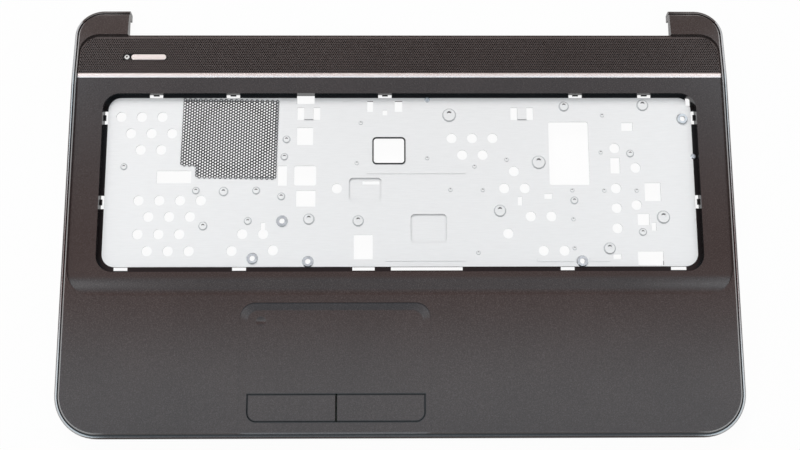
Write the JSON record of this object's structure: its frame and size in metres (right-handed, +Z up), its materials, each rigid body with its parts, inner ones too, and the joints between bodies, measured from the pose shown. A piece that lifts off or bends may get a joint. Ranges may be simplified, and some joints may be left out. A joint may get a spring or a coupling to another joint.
{
  "type": "laptop palm rest",
  "caption": "Laptop top cover with keyboard well and perforated support plate, touchpad with click buttons, speaker strip and power button.",
  "frame": {"origin": "centre of the cover's outline, on the plane its rim rests on", "axes": "+X to the user's right along the width, +Y from the front edge to the hinges, +Z up out of the keyboard side"},
  "size_m": [0.412, 0.268, 0.0135],
  "materials": {
    "shell": "satin dark warm grey with a fine metallic fleck",
    "grille": "satin dark grey, finely perforated",
    "rose_silver": "metallised, satin rose silver",
    "lens": "frosted clear",
    "led": "clear, unlit",
    "circuit_board": "green solder resist",
    "switch_body": "black",
    "switch_stem": "off-white",
    "connector": "cream",
    "plate": "matt light grey stamped sheet",
    "mesh": "matt dark grey",
    "edging": "matt black",
    "steel": "plain",
    "button": "satin dark warm grey",
    "chip": "black",
    "screw_steel": "zinc plated",
    "brass": "plain"
  },
  "bodies": {
    "cover": {"palm_rest_shell": "shell", "speaker_grille": "grille", "trim_strip": "rose_silver", "power_led_lens": "lens", "power_led": "led", "power_button_board": "circuit_board", "power_switch": "switch_body", "power_connector": "connector", "keyboard_plate": "plate", "fan_mesh": "mesh", "window_edging": "edging", "plate_standoffs": "steel", "plate_rivets": "steel", "left_click_switch": "switch_body", "right_click_switch": "switch_body", "click_board": "circuit_board", "click_connector": "connector", "click_bracket": "steel", "touchpad_board": "circuit_board", "touchpad_chip": "chip", "touchpad_connector": "connector", "board_screws": "screw_steel", "threaded_inserts": "brass"},
    "power_key": {"power_button": "rose_silver", "power_switch_stem": "switch_stem"},
    "left_click": {"left_click_button": "button", "left_switch_stem": "switch_stem"},
    "right_click": {"right_click_button": "button", "right_switch_stem": "switch_stem"}
  },
  "joints": [
    {"name": "power_button_press", "type": "slide", "parent": "cover", "child": "power_key", "axis": [0, -0.1392, -0.9903], "range_m": [0, 0.0004], "stiffness_N_per_m": 1500},
    {"name": "left_click_press", "type": "slide", "parent": "cover", "child": "left_click", "axis": [0, 0, -1], "range_m": [0, 0.0004], "stiffness_N_per_m": 1500},
    {"name": "right_click_press", "type": "slide", "parent": "cover", "child": "right_click", "axis": [0, 0, -1], "range_m": [0, 0.0004], "stiffness_N_per_m": 1500}
  ]
}
